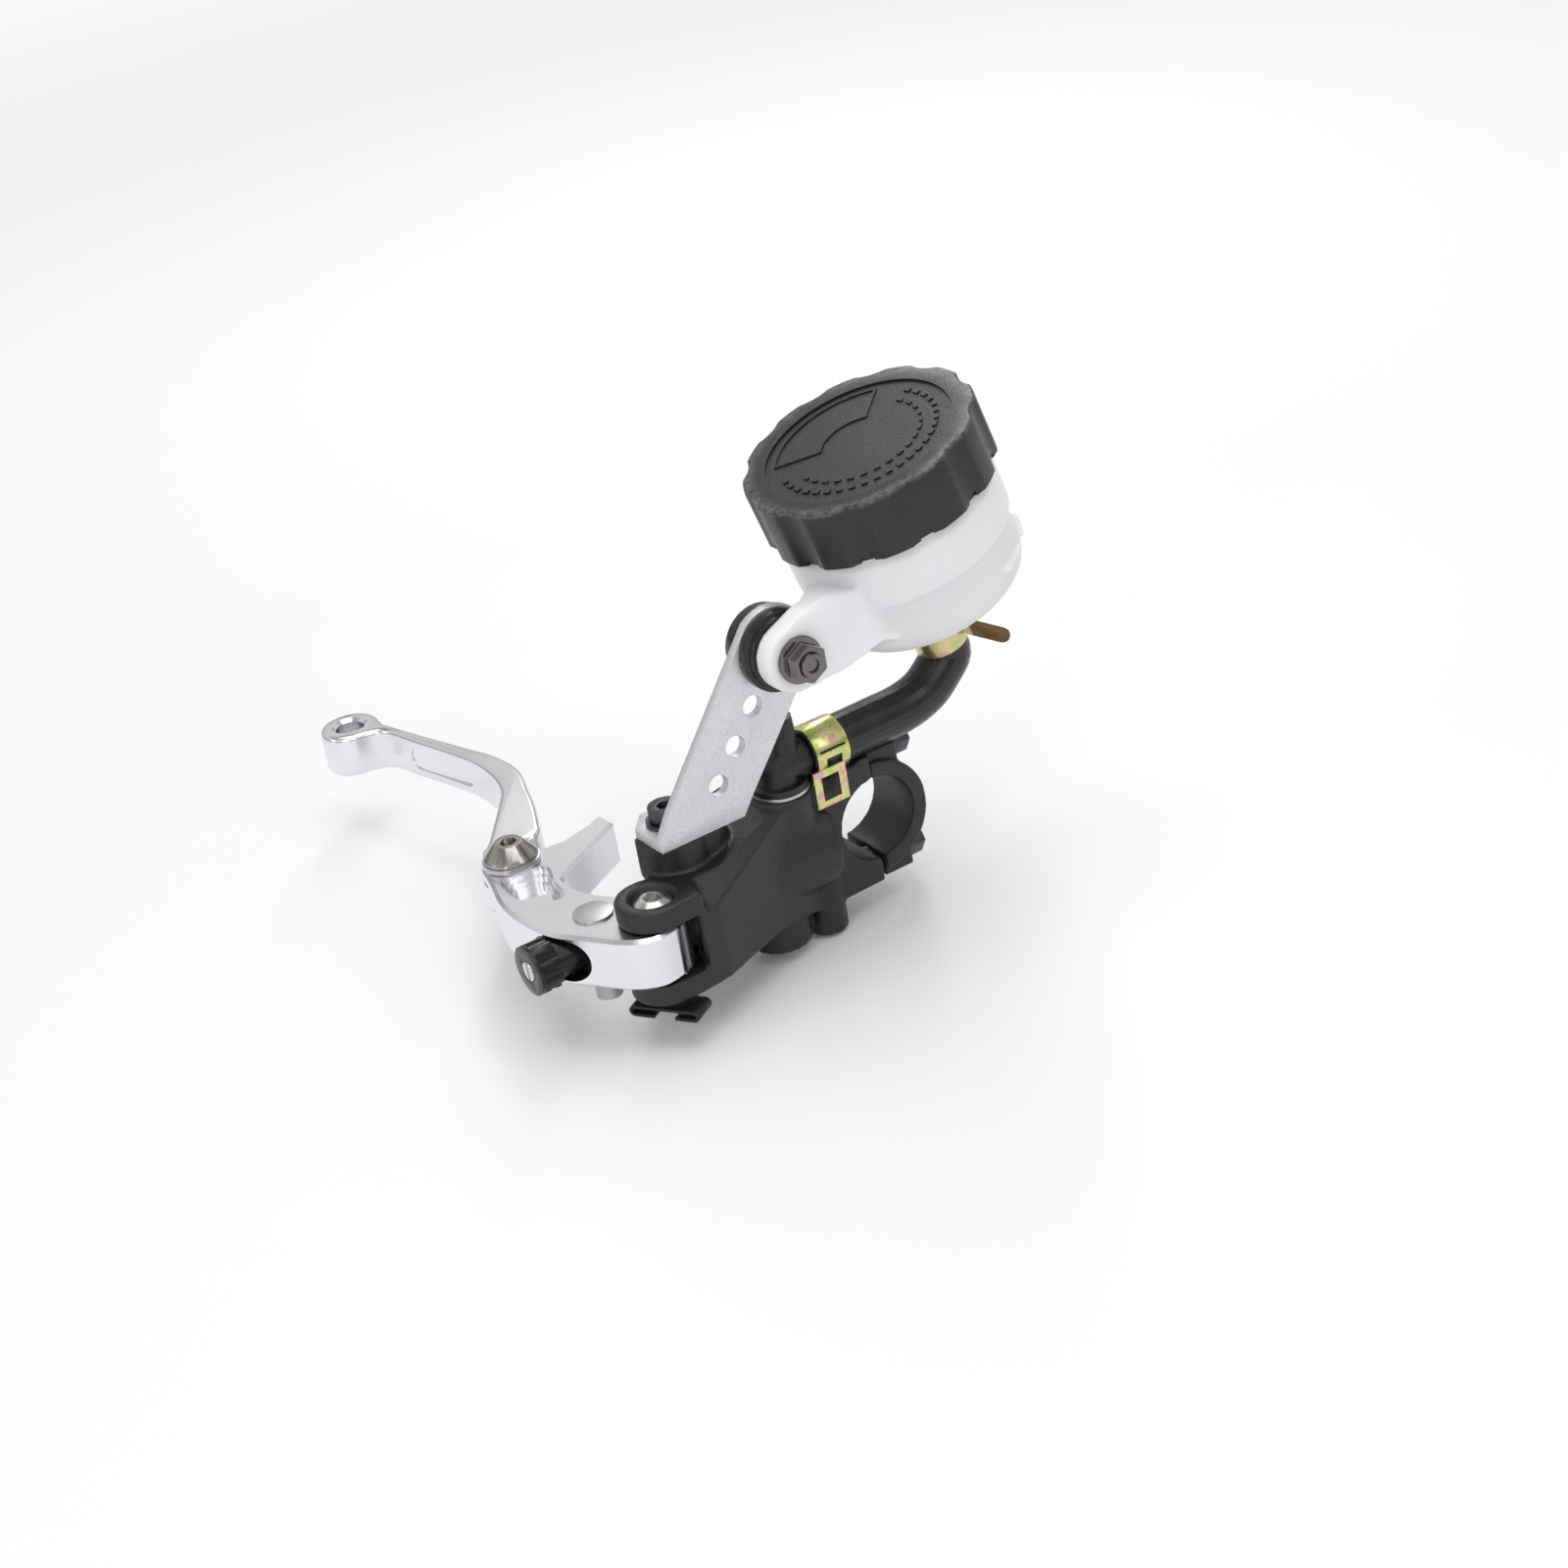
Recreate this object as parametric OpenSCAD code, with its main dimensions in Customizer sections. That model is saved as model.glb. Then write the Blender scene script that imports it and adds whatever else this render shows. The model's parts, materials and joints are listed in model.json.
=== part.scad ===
// Radial front brake master cylinder with a remote reservoir, for a motorcycle handlebar.
//
// Frame, in millimetres: the origin is the middle of the handlebar clamp bore. +X runs along
// the handlebar towards the grip, +Y runs forward from the bar to the lever, and +Z is up,
// along the lever's pivot. The lever, its push rod and the cylinder bore lie in the plane z = 0.

/* [Handlebar clamp] */
// Diameter of the handlebar
bar_d = 22.2; // [21.8:0.1:22.4]
// Width of the clamp along the bar
clamp_w = 18; // [17:0.5:20]
// Wall of the clamp around the bar
clamp_wall = 4.1; // [3.9:0.1:4.3]
// Height of the two clamp bolts above and below the bar's axis
clamp_bolt_z = 14.8; // [14.6:0.1:15]
// Gap between the clamp's lower faces
clamp_gap = 1.2; // [0.6:0.1:1.8]

/* [Cylinder] */
// Bore of the master cylinder
bore_d = 16; // [15:0.5:16.5]
// Outer diameter of the cylinder barrel
barrel_d = 25; // [24:0.5:26]
// Distance of the cylinder axis from the middle of the clamp, towards the throttle side
bore_x = -3.9; // [-4.2:0.1:-3.6]
// Place of the closed end of the bore
bore_end_y = 20.5; // [19.5:0.5:21.5]
// Place of the open end of the bore
bore_mouth_y = 60; // [59.5:0.5:61]
// Thread diameter of the brake line port
port_d = 10; // [8:0.5:10]

/* [Lever] */
// Distance of the lever pivot from the middle of the clamp, along the bar
pivot_x = -17.3; // [-17.6:0.1:-17]
// Distance of the lever pivot from the middle of the clamp, forward
pivot_y = 71.2; // [70.8:0.1:71.6]
// Height of the lever
lever_h = 14; // [13.4:0.2:14.2]
// Height of the blade
blade_h = 12.4; // [11:0.2:12.8]
// Thickness of each ear of the clevis
ear_t = 5.6; // [5:0.2:6]
// Outer radius of each ear of the clevis
ear_r = 9.2; // [9:0.1:9.6]
// Diameter of the push rod's trunnion
trunnion_d = 10; // [9.4:0.2:10.2]
// Diameter of the adjuster knob
knob_d = 12.8; // [12:0.2:13]

/* [Reservoir] */
// Diameter of the screw cap
cap_d = 60; // [59:0.5:61]
// Height of the screw cap
cap_h = 16; // [15:0.5:17]
// Number of finger scallops around the cap
cap_scallops = 12; // [8:1:14]
// Outer diameter of the bottle
bottle_d = 53; // [52:0.5:54]
// Angle that the reservoir leans forward
reservoir_tilt = 16.5; // [14:0.5:18]
// Outer diameter of the feed hose
hose_od = 12.5; // [12:0.1:12.6]
// Bore of the feed hose
hose_id = 8; // [7.6:0.1:8.2]

/* [Bracket] */
// Thickness of the bracket plate
plate_t = 2.5; // [2:0.1:2.8]
// Height of the bracket's foot above the lever plane
foot_z = 20.4; // [19.8:0.1:21]

/* [Hidden] */
$fn = 64;
eps = 0.01;
running = 0.05;         // radial clearance of a turning or sliding fit
snug = 0.02;            // radial clearance of a pressed or screwed fit

// Clamp
bar_r = bar_d / 2;
ring_r = bar_r + clamp_wall;
bolt_r = 3;             // M6 clamp bolts
tab_z = 17.8;           // half height of the clamp's bolt tabs
arm_z = 17;             // top of the arm between the clamp and the barrel
cap_tab_y = 9.5;        // depth of the cap's bolt tabs behind the split

// Cylinder
bore_r = bore_d / 2;
barrel_r = barrel_d / 2;
side_x = -26;           // side face of the body beside the lever
inlet_x = -6.1;
inlet_y = 25;
inlet_top_z = 17.9;
socket_r = 5;
socket_floor_z = 11;
port_pos = [-5, 31.5];
port_face_z = -22.5;
boss_pos = [-5.5, 17.6];
boss_face_z = -25;

// Lever, measured from its pivot
slot_z = lever_h / 2 + 0.3;
ear_z = slot_z + ear_t;
pivot_r = 4;
bush_r = 5.5;
trunnion_at = [13.4, 9.5];
fold_at = [52.5, 9.9];
fold_r = 8;
tip_at = [163.2, 0.4];
tongue_h = 6;
shoulder_r = 3.5;       // shoulder of the fold screw
rod_r = 3;
trunnion_y = pivot_y + trunnion_at[1];
ball_r = 3.7;
ball_y = 52.4;

// Post and bracket
post_at = [-6, 57];
post_r = 9;
plate_x = -15;          // face of the plate that the reservoir's ear is on
bolt_hub = [24.8, 59.3];  // the reservoir bolt's place in y and z
m6_r = 3;

// Reservoir, measured from its bolt in its own tilted frame
axis_x = inlet_x;      // the bottle stands over the inlet
axis_y = -47;
cap_top = 25.9;
bottle_r = bottle_d / 2;
neck_r = 27.2;
bottle_floor = cap_top - 48;
shoulder_z = cap_top - cap_h - 1.5;
rim_z = cap_top - 6;
ear_x = [-25.2, -19.4];
hose_x = inlet_x;
hose_z = 24.4;
hose_y0 = 17.3;
band_t = 0.7;
outlet_y = axis_y + 2;  // the outlet is a little forward of the bottle's middle

// ---------- small helpers ----------

function arc(c, r, a0, a1, n = 12) =
    [for (i = [0:n]) c + r * [cos(a0 + (a1 - a0) * i / n), sin(a0 + (a1 - a0) * i / n)]];

// A smooth curve through a short list of points, with n steps between neighbours
function spline(p, n = 6) = [for (i = [0:len(p) - 2]) for (j = [0:n - 1])
    let (t = j / n, a = p[max(i - 1, 0)], b = p[i], c = p[i + 1], d = p[min(i + 2, len(p) - 1)])
    0.5 * (2 * b + (c - a) * t + (2 * a - 5 * b + 4 * c - d) * t * t
        + (3 * b - a - 3 * c + d) * t * t * t)];

// A cylinder along Y that starts at y0
module rod_y(r, y0, y1) {
    translate([0, y0, 0]) rotate([-90, 0, 0]) cylinder(r = r, h = y1 - y0);
}

// A cylinder along X that starts at x0
module rod_x(r, x0, x1) {
    translate([x0, 0, 0]) rotate([0, 90, 0]) cylinder(r = r, h = x1 - x0);
}

// A cylinder along Z between two heights
module rod_z(r, z0, z1) {
    translate([0, 0, z0]) cylinder(r = r, h = z1 - z0);
}

// A hexagon prism along Z, across_flats wide
module hex_z(across_flats, z0, z1) {
    translate([0, 0, z0]) cylinder(d = across_flats / cos(30), h = z1 - z0, $fn = 6);
}

module block(x, y, z) {
    translate([x[0], y[0], z[0]]) cube([x[1] - x[0], y[1] - y[0], z[1] - z[0]]);
}

module at_pivot() {
    translate([pivot_x, pivot_y, 0]) children();
}

module at_rod() {
    translate([bore_x, 0, 0]) children();
}

module at_reservoir() {
    translate([0, bolt_hub[0], bolt_hub[1]]) rotate([-reservoir_tilt, 0, 0]) children();
}

module at_bottle() {
    at_reservoir() translate([axis_x, axis_y, 0]) children();
}

// ---------- body and clamp ----------

// The casting seen from above
module body_plan() {
    polygon([[-clamp_w / 2, 0], [-9.6, 20], [side_x + 0.8, 58], [side_x, 63.5], [-12, 66],
        [6, 61], [9.4, 58], [9.4, 20], [clamp_w / 2, 0]]);
}

// The casting seen from the side, as y and z
module body_side() {
    polygon([[0, -tab_z], [20, -tab_z], [30, -14], [38, -ear_z], [70, -ear_z], [70, ear_z],
        [52, ear_z], [34, 17], [20, arm_z], [5, arm_z], [3, tab_z], [0, tab_z]]);
}

module body_casting() {
    intersection() {
        translate([0, 0, -30]) linear_extrude(60) body_plan();
        rotate([90, 0, 90]) translate([0, 0, -40]) linear_extrude(80) body_side();
        // the upper edge of the side face is bevelled
        rotate([-90, 0, 0]) linear_extrude(80)
            polygon([[20, -40], [-12, -40], [-12, -17.5], [-28, -5.5], [-40, 10], [-40, 40], [20, 40]]);
    }
}

module clevis_ear(z0) {
    translate([pivot_x, pivot_y, z0]) cylinder(r = ear_r, h = ear_t);
    translate([0, 0, z0]) linear_extrude(ear_t)
        polygon([[pivot_x - ear_r + 0.05, pivot_y - 1], [side_x + 0.2, 62], [4, 56], [2, 61],
            [pivot_x + ear_r - 0.8, pivot_y - 4], [pivot_x, pivot_y]]);
}

module body() {
    color("#26272a") difference() {
        union() {
            body_casting();
            // clamp half around the bar
            rod_x(ring_r, -clamp_w / 2, clamp_w / 2);
            // cylinder barrel, with its mouth collar
            at_rod() rod_y(barrel_r, 16, bore_mouth_y - 4);
            at_rod() rod_y(10, bore_mouth_y - 5, bore_mouth_y);
            clevis_ear(slot_z);
            clevis_ear(-ear_z);
            // oval post for the reservoir bracket
            translate([post_at[0], post_at[1], 10]) cylinder(r = post_r, h = foot_z - 10);
            translate([post_at[0], post_at[1] - 7, 10]) cylinder(r = post_r - 1.5, h = foot_z - 10);
            // inlet boss, brake line port boss and blind boss
            translate([inlet_x, inlet_y, 8]) cylinder(r = 8, h = inlet_top_z - 8);
            translate([port_pos[0], port_pos[1], port_face_z]) cylinder(r = 8, h = 15);
            translate([boss_pos[0], boss_pos[1], boss_face_z]) cylinder(r = 5.2, h = 15);
        }
        // handlebar bore, and the half that the cap fills
        rod_x(bar_r, -20, 20);
        block([-20, 20], [-30, 0], [0, 30]);
        block([-20, 20], [-30, clamp_gap / 2], [-30, 0]);
        for (s = [-1, 1]) translate([0, 0, s * clamp_bolt_z]) rod_y(bolt_r + snug, -1, 16);
        // slot of the clevis, which leaves room for the lever's rounded end
        at_pivot() rod_z(ear_r + 0.6, -slot_z, slot_z);
        block([pivot_x, 40], [bore_mouth_y, 90], [-slot_z, slot_z]);
        block([-2, 40], [bore_mouth_y, 90], [-30, 30]);
        // cylinder bore with its circlip groove
        at_rod() rod_y(bore_r, bore_end_y, 70);
        at_rod() rod_y(bore_r + 0.5, 58, 59.1);
        // lever pivot, with a countersink in the upper ear
        at_pivot() rod_z(pivot_r + snug, -20, 20);
        at_pivot() translate([0, 0, ear_z - 2.6]) cylinder(r1 = 4.8, r2 = 5.9, h = 2.6 + eps);
        // inlet socket and its passages to the bore
        translate([inlet_x, inlet_y, 0]) rod_z(socket_r, socket_floor_z, 30);
        translate([inlet_x, 28.7, 0]) rod_z(0.5, 4, 12);
        translate([inlet_x, inlet_y, socket_floor_z]) rotate([-124, 0, 0]) cylinder(r = 1.2, h = 14);
        // brake line port and its drilling
        translate([port_pos[0], port_pos[1], 0]) rod_z(port_d / 2, port_face_z - 1, -11);
        translate([port_pos[0], port_pos[1], 0]) rod_z(1.5, -12, -4);
        translate([boss_pos[0], boss_pos[1], 0]) rod_z(2.5, boss_face_z - 1, -16);
        // bracket bolt
        translate([post_at[0], post_at[1], 0]) rod_z(m6_r + snug, 9.5, 40);
    }
}

module clamp_cap() {
    color("#222326") difference() {
        union() {
            rod_x(ring_r, -clamp_w / 2, clamp_w / 2);
            block([-clamp_w / 2 + 1.5, clamp_w / 2 - 1.5], [-cap_tab_y, 0], [ring_r - 6, tab_z]);
            block([-clamp_w / 2 + 1.5, clamp_w / 2 - 1.5], [-cap_tab_y, 0], [-tab_z, 6 - ring_r]);
        }
        rod_x(bar_r, -20, 20);
        block([-20, 20], [-0.05, 30], [0, 30]);
        block([-20, 20], [-clamp_gap / 2, 30], [-30, 0]);
        for (s = [-1, 1]) translate([0, 0, s * clamp_bolt_z]) {
            rod_y(bolt_r + 0.3, -20, 5);
            rod_y(5.4, -20, -cap_tab_y);
        }
    }
}

// side is 1 for the upper clamp bolt and -1 for the lower one
module clamp_bolt(side) {
    color("#3a3a3e") translate([0, -cap_tab_y - 1.3, side * clamp_bolt_z]) {
        difference() {
            rotate([90, 0, 0]) hex_z(8, 0, 5);
            rod_y(2, -6, -3.6);
        }
        rod_y(bolt_r, -eps, 24);
    }
}

module clamp_washer(side) {
    color("#77777c") translate([0, 0, side * clamp_bolt_z]) difference() {
        rod_y(4.7, -cap_tab_y - 1.28, -cap_tab_y - 0.02);
        rod_y(bolt_r + 0.1, -20, 0);
    }
}

// ---------- lever pivot ----------

module pivot_bolt() {
    color("#c9c8c6") at_pivot() difference() {
        union() {
            rod_z(pivot_r, -ear_z - 2.6, ear_z - 2);
            rod_z(4.7, ear_z - 2.5, ear_z - 1.6);
            translate([0, 0, ear_z - 1.6 - eps]) cylinder(r1 = 4.7, r2 = 2.9, h = 1.2);
        }
        hex_z(4, ear_z - 2.9, ear_z + 1);
    }
}

module pivot_nut() {
    color("#9b9a98") at_pivot() difference() {
        hex_z(10, -ear_z - 1.7, -ear_z - 0.05);
        rod_z(pivot_r + snug, -30, 0);
    }
}

module pivot_bush() {
    color("#a8874a") at_pivot() difference() {
        rod_z(bush_r, -lever_h / 2, lever_h / 2);
        rod_z(pivot_r + running, -20, 20);
    }
}

// Spring clip under the pivot nut: a band whose two ends are folded back beneath it
module pivot_clip() {
    t = 0.8;
    fold = 1.5;
    half = 8;
    color("#2b2724") translate([pivot_x - 2.6, pivot_y + 2.2, -ear_z - 1.75])
        rotate([0, 0, 31]) {
            difference() {
                block([-half, half], [-3.6, 3.6], [-t, 0]);
                rotate([0, 0, -31]) translate([2.6, -2.2, -10]) cylinder(r = pivot_r + 0.1, h = 20);
            }
            for (s = [-1, 1]) {
                translate([s * half, -3.6, -fold]) difference() {
                    rod_y(fold, 0, 7.2);
                    rod_y(fold - t, -1, 9);
                    translate([-s * 2 - 2, -1, -2]) cube([4, 10, 4]);
                }
                translate([s * (half - 2.6), 0, -2 * fold + t / 2]) cube([5.22, 7.2, t], center = true);
            }
        }
}

// ---------- lever ----------

// Outline of the lever base seen from above: a broad hand-side plate that ends in the fork for
// the blade, with a stop finger that points back towards the bar
function base_outline() = concat(
    spline([[-7.6, -1.5], [-8.6, 5.2], [-4.4, 11.4], [4.7, 17], [13.5, 21.8], [25.4, 23.5],
        [37, 22.4], [48, 19], [56.5, 16.8]]),
    arc(fold_at, fold_r, 52, -78, 14),
    [[53, 0.2], [52.2, -4.5], [54.4, -13.2], [56.4, -17.2], [55.4, -18.6], [50.6, -18.8]],
    spline([[49.4, -18], [37, 2.6], [33, 5.6], [28.6, 5.8], [23, 4.4], [16.4, 0.8],
        [8, -4.6]]),
    arc([0, 0], 7.6, -38, -168, 12));

// Outline of the lightening pocket in the top of the lever base
function pocket_outline() = spline([[26, 10.2], [30, 8.2], [36, 7.2], [42, 5], [45.2, 7.2],
    [46, 13], [45.2, 17.2], [40, 18.6], [34.4, 18.6], [32.4, 16], [30.8, 12.8], [27, 12.6],
    [26, 10.2]], 4);

// Round-ended slot along Y for the push rod and its adjuster
module rod_slot(r, x0, x1, y0, y1) {
    for (x = [x0, x1]) translate([x, 0, 0]) rod_y(r, y0, y1);
    block([x0, x1], [y0, y1], [-r, r]);
}

module lever_base() {
    color("#d9dadd") at_pivot() difference() {
        translate([0, 0, -lever_h / 2]) linear_extrude(lever_h) polygon(base_outline());
        rod_z(bush_r + snug, -20, 20);
        // the stop finger is less tall than the base
        block([36, 70], [-30, -4.2], [-20, -4]);
        // pocket, which narrows downwards in three steps
        for (i = [0:2]) translate([38, 12, lever_h / 2 - 1.5 * (i + 1)]) linear_extrude(10)
            scale(1 - 0.13 * i) translate([-38, -12]) polygon(pocket_outline());
        // trunnion bore, and the slots for the rod behind it and the adjuster before it
        translate([trunnion_at[0], trunnion_at[1], 0]) rod_z(trunnion_d / 2 + running, -20, 20);
        rod_slot(4.3, trunnion_at[0] - 1, trunnion_at[0] + 4, -12, trunnion_at[1]);
        rod_slot(5.7, trunnion_at[0] - 3.2, trunnion_at[0] + 1.8, trunnion_at[1] + 2, 40);
        // fork for the blade's tongue
        translate([fold_at[0], fold_at[1], 0]) {
            rod_z(shoulder_r + snug, -20, 20);
            rod_z(fold_r + 0.7, -tongue_h / 2 - 0.15, tongue_h / 2 + 0.15);
            rod_z(5.3, -20, -lever_h / 2 + 3);
        }
        translate([fold_at[0], fold_at[1], -tongue_h / 2 - 0.15]) linear_extrude(tongue_h + 0.3)
            polygon([[0, 0], [-2, 20], [30, 20], [30, -20], [-2.6, -20]]);
        // detent bore
        translate([fold_at[0] - 18, fold_at[1] + 3, 0]) rotate([0, 90, -9.5]) cylinder(r = 1.6, h = 12);
    }
}

// Outline of the blade seen from above, measured from the lever pivot
function blade_outline() = concat(
    [[62.4, 2]], [[61.6, -2.6]],
    spline([[64, -5], [77, -11], [87, -14.6], [96.5, -18], [104.5, -18.9], [113.8, -17.9],
        [121, -15.9], [140, -11], [158, -6.6]]),
    arc(tip_at, 8.4, -105, 128, 18),
    spline([[155.5, 3.2], [152.3, -4.5], [140, -7.4], [128, -10], [114.6, -12.2],
        [102.3, -11.6], [92.4, -8.8], [85.4, -4.2], [76.5, 2.4], [68.5, 8.5], [65, 12.6]]),
    [[61.6, 13.2]], arc(fold_at, 9.2, 12, -34, 6));

module lever_blade() {
    color("#dfe0e3") at_pivot() difference() {
        union() {
            difference() {
                translate([0, 0, -blade_h / 2]) linear_extrude(blade_h) polygon(blade_outline());
                // the blade clears the round end of the fork as it folds
                translate([fold_at[0], fold_at[1], 0]) for (s = [-1, 1])
                    rod_z(fold_r + 0.35, s * 15 - 12, s * 15 + 12);
            }
            translate([fold_at[0], fold_at[1], -tongue_h / 2]) {
                cylinder(r = fold_r, h = tongue_h);
                linear_extrude(tongue_h) polygon([[0, -fold_r], [9.6, -11.6], [12, 0], [5, 6.2]]);
            }
        }
        translate([fold_at[0], fold_at[1], 0]) rod_z(shoulder_r + running, -20, 20);
        translate([tip_at[0], tip_at[1], 0]) rod_z(4, -20, 20);
        translate([tip_at[0], tip_at[1], blade_h / 2 - 1]) cylinder(r1 = 4, r2 = 5.2, h = 1.2);
        // shallow round-ended panel in the face that the fingers pull
        translate([129, -10.6, 0]) rotate([0, 0, 12.6]) {
            for (x = [-10, 10]) translate([x, 0, 0]) rod_y(3.4, 0.3, 3);
            block([-10, 10], [0.3, 3], [-3.4, 3.4]);
        }
        // seat for the detent ball
        translate([fold_at[0], fold_at[1], 0]) rotate([0, 0, 170.5]) rotate([0, 90, 0])
            cylinder(r = 1.2, h = 20);
    }
}

// Screw that the blade folds on, with a conical head
module fold_screw() {
    z0 = lever_h / 2 + 1.55;
    color("#b9b8b4") at_pivot() translate([fold_at[0], fold_at[1], 0]) difference() {
        union() {
            rod_z(shoulder_r, -lever_h / 2 + 0.4, z0);
            translate([0, 0, z0 - eps]) cylinder(r = 7, h = 0.8);
            translate([0, 0, z0 + 0.78]) cylinder(r1 = 7, r2 = 3.6, h = 3.6, $fn = 48);
        }
        hex_z(4, z0 + 1.6, z0 + 10);
    }
}

module fold_washer() {
    color("#cfcfd0") at_pivot() translate([fold_at[0], fold_at[1], 0]) difference() {
        rod_z(7.4, lever_h / 2 + 0.02, lever_h / 2 + 1.5);
        rod_z(shoulder_r + snug, 0, 20);
    }
}

module fold_nut() {
    color("#9b9a98") at_pivot() translate([fold_at[0], fold_at[1], 0]) difference() {
        hex_z(8.8, -lever_h / 2 + 0.2, -lever_h / 2 + 2.9);
        rod_z(shoulder_r + snug, -20, 20);
    }
}

module at_detent() {
    at_pivot() translate([fold_at[0] - fold_r - 1.4, fold_at[1] + 1.5, 0]) rotate([0, 0, -9.5])
        children();
}

module detent_ball() {
    color("#8f8f92") at_detent() sphere(r = 1.4);
}

module detent_spring() {
    color("#8a8a8e") at_detent() for (i = [0:3])
        translate([-1.85 - 1.5 * i, 0, 0]) rotate([0, 90, 0]) rotate_extrude()
            translate([1.05, 0]) circle(r = 0.3);
}

// ---------- push rod and adjuster ----------

module trunnion() {
    h = lever_h / 2 + 0.6;
    color("#a9a8a6") translate([bore_x, trunnion_y, 0]) difference() {
        union() {
            rod_z(trunnion_d / 2, -h - 1, h);
            rod_z(3.3, -15.5, -h);
        }
        rod_y(rod_r + snug, -20, 20);
    }
}

module push_rod() {
    color("#b3b2ae") at_rod() {
        rod_y(rod_r, ball_y + 1, 98.1);
        translate([0, ball_y, 0]) sphere(r = ball_r);
    }
}

module adjuster_barrel() {
    color("#17181a") at_rod() difference() {
        rod_y(5, trunnion_y + 5.6, 94);
        rod_y(rod_r + snug, 0, 120);
    }
}

module adjuster_knob() {
    face_y = 100.4;
    flutes = 8;
    color("#141517") at_rod() difference() {
        rod_y(knob_d / 2, 94.3, face_y);
        rod_y(rod_r + running, 90, 98.2);
        rod_y(2.6, 97, 110);
        for (i = [0:flutes - 1]) rotate([0, i * 360 / flutes, 0])
            translate([knob_d / 2 + 1.6, 0, 0]) rod_y(2.3, 90, face_y - 1);
        // hole of the set screw
        translate([0, 96.4, 0]) rotate([0, 205, 0]) rod_z(1.1, 0, 20);
    }
}

module adjuster_screw() {
    color("#c4c2be") at_rod() difference() {
        rod_y(2.5, 98.3, 100.7);
        translate([0, 101, 0]) cube([0.7, 1.6, 6], center = true);
    }
}

module knob_set_screw() {
    color("#2c2c30") at_rod() translate([0, 96.4, 0]) rotate([0, 205, 0]) difference() {
        rod_z(1.05, 3.3, 5.6);
        hex_z(0.9, 4.6, 8);
    }
}

// Rubber bellows between the cylinder's mouth and the lever
module dust_boot() {
    y0 = bore_mouth_y + 0.05;
    color("#1a1b1d") at_rod() difference() {
        union() {
            rod_y(7, y0, y0 + 1.2);
            rod_y(6.2, y0 + 1, y0 + 4.2);
            rod_y(7, y0 + 2, y0 + 3.1);
            rod_y(5.6, y0 + 4, y0 + 5.4);
        }
        rod_y(5, y0 - 1, y0 + 3.6);
        rod_y(rod_r + 0.1, y0, y0 + 20);
    }
}

// ---------- inside the bore ----------

module piston() {
    r = bore_r - running;
    color("#c2a35c") at_rod() difference() {
        union() {
            rod_y(r, 49.5, 56.4);
            rod_y(r - 2.6, 36, 49.6);
            rod_y(r, 33.6, 36.1);
            rod_y(3.4, 30.2, 33.7);
        }
        // groove of the secondary seal
        difference() {
            rod_y(bore_r + 1, 51, 53.4);
            rod_y(r - 1.7, 50, 54);
        }
        // socket of the push rod
        rod_y(4.2, ball_y, 60);
        translate([0, ball_y, 0]) sphere(r = ball_r + 0.3);
    }
}

module primary_cup() {
    color("#202124") at_rod() difference() {
        rod_y(bore_r - running, 30.4, 33.55);
        rod_y(3.42, 20, 40);
        rod_y(bore_r - 1.4, 29, 31.6);
    }
}

module secondary_seal() {
    r = bore_r - running;
    color("#202124") at_rod() difference() {
        rod_y(r, 51.1, 53.3);
        rod_y(r - 1.65, 40, 60);
    }
}

module return_spring() {
    turns = 4;
    wire = 0.55;
    color("#8d8d92") at_rod() for (i = [0:turns])
        translate([0, bore_end_y + wire + 0.1 + i * 2.05, 0]) rotate([-90, 0, 0])
            rotate_extrude() translate([4.4, 0]) circle(r = wire, $fn = 20);
}

module stop_washer() {
    color("#9a9a9e") at_rod() difference() {
        rod_y(bore_r - snug, 56.6, 57.9);
        rod_y(4.3, 50, 60);
    }
}

module piston_circlip() {
    color("#4b4b50") at_rod() difference() {
        rod_y(bore_r + 0.4, 58.1, 59);
        rod_y(bore_r - 1.6, 50, 70);
        translate([0, 58.5, -6]) cube([3.4, 4, 12], center = true);
    }
}

// ---------- inlet and feed hose ----------

module at_inlet() {
    translate([inlet_x, inlet_y, 0]) children();
}

module inlet_elbow() {
    color("#1b1c1f") at_inlet() difference() {
        union() {
            rod_z(socket_r - snug, socket_floor_z + 0.1, inlet_top_z + 1);
            rod_z(7.2, inlet_top_z + 1, inlet_top_z + 2.6);
            rod_z(5.4, inlet_top_z + 2, hose_z);
            translate([0, 0, hose_z]) sphere(r = 5.4);
            // moulded stud on top of the bend
            translate([0, -2.6, hose_z + 2]) cylinder(r1 = 4.4, r2 = 3.5, h = 10.6);
            translate([0, 0, hose_z]) {
                rod_y(3.9, -20, 0);
                rod_y(5.4, -7.4, 0);
            }
            // barbs that hold the hose
            for (y = [-18, -14, -10]) translate([0, 0, hose_z]) rod_y(3.95, y, y + 1.2);
        }
        rod_z(2.4, 0, hose_z);
        translate([0, 0, hose_z]) rod_y(2.4, -30, 0);
        difference() {
            rod_z(8, 13, 14.8);
            rod_z(3.9, 12, 16);
        }
    }
}

module inlet_o_ring() {
    color("#101113") at_inlet() translate([0, 0, 13.9]) rotate_extrude()
        translate([4.45, 0]) circle(r = 0.5, $fn = 24);
}

module inlet_circlip() {
    color("#bdbdbf") at_inlet() difference() {
        rod_z(7.4, inlet_top_z + 0.05, inlet_top_z + 0.95);
        rod_z(5.06, 0, 40);
        translate([0, -7, inlet_top_z]) cube([3, 6, 4], center = true);
    }
}

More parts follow.
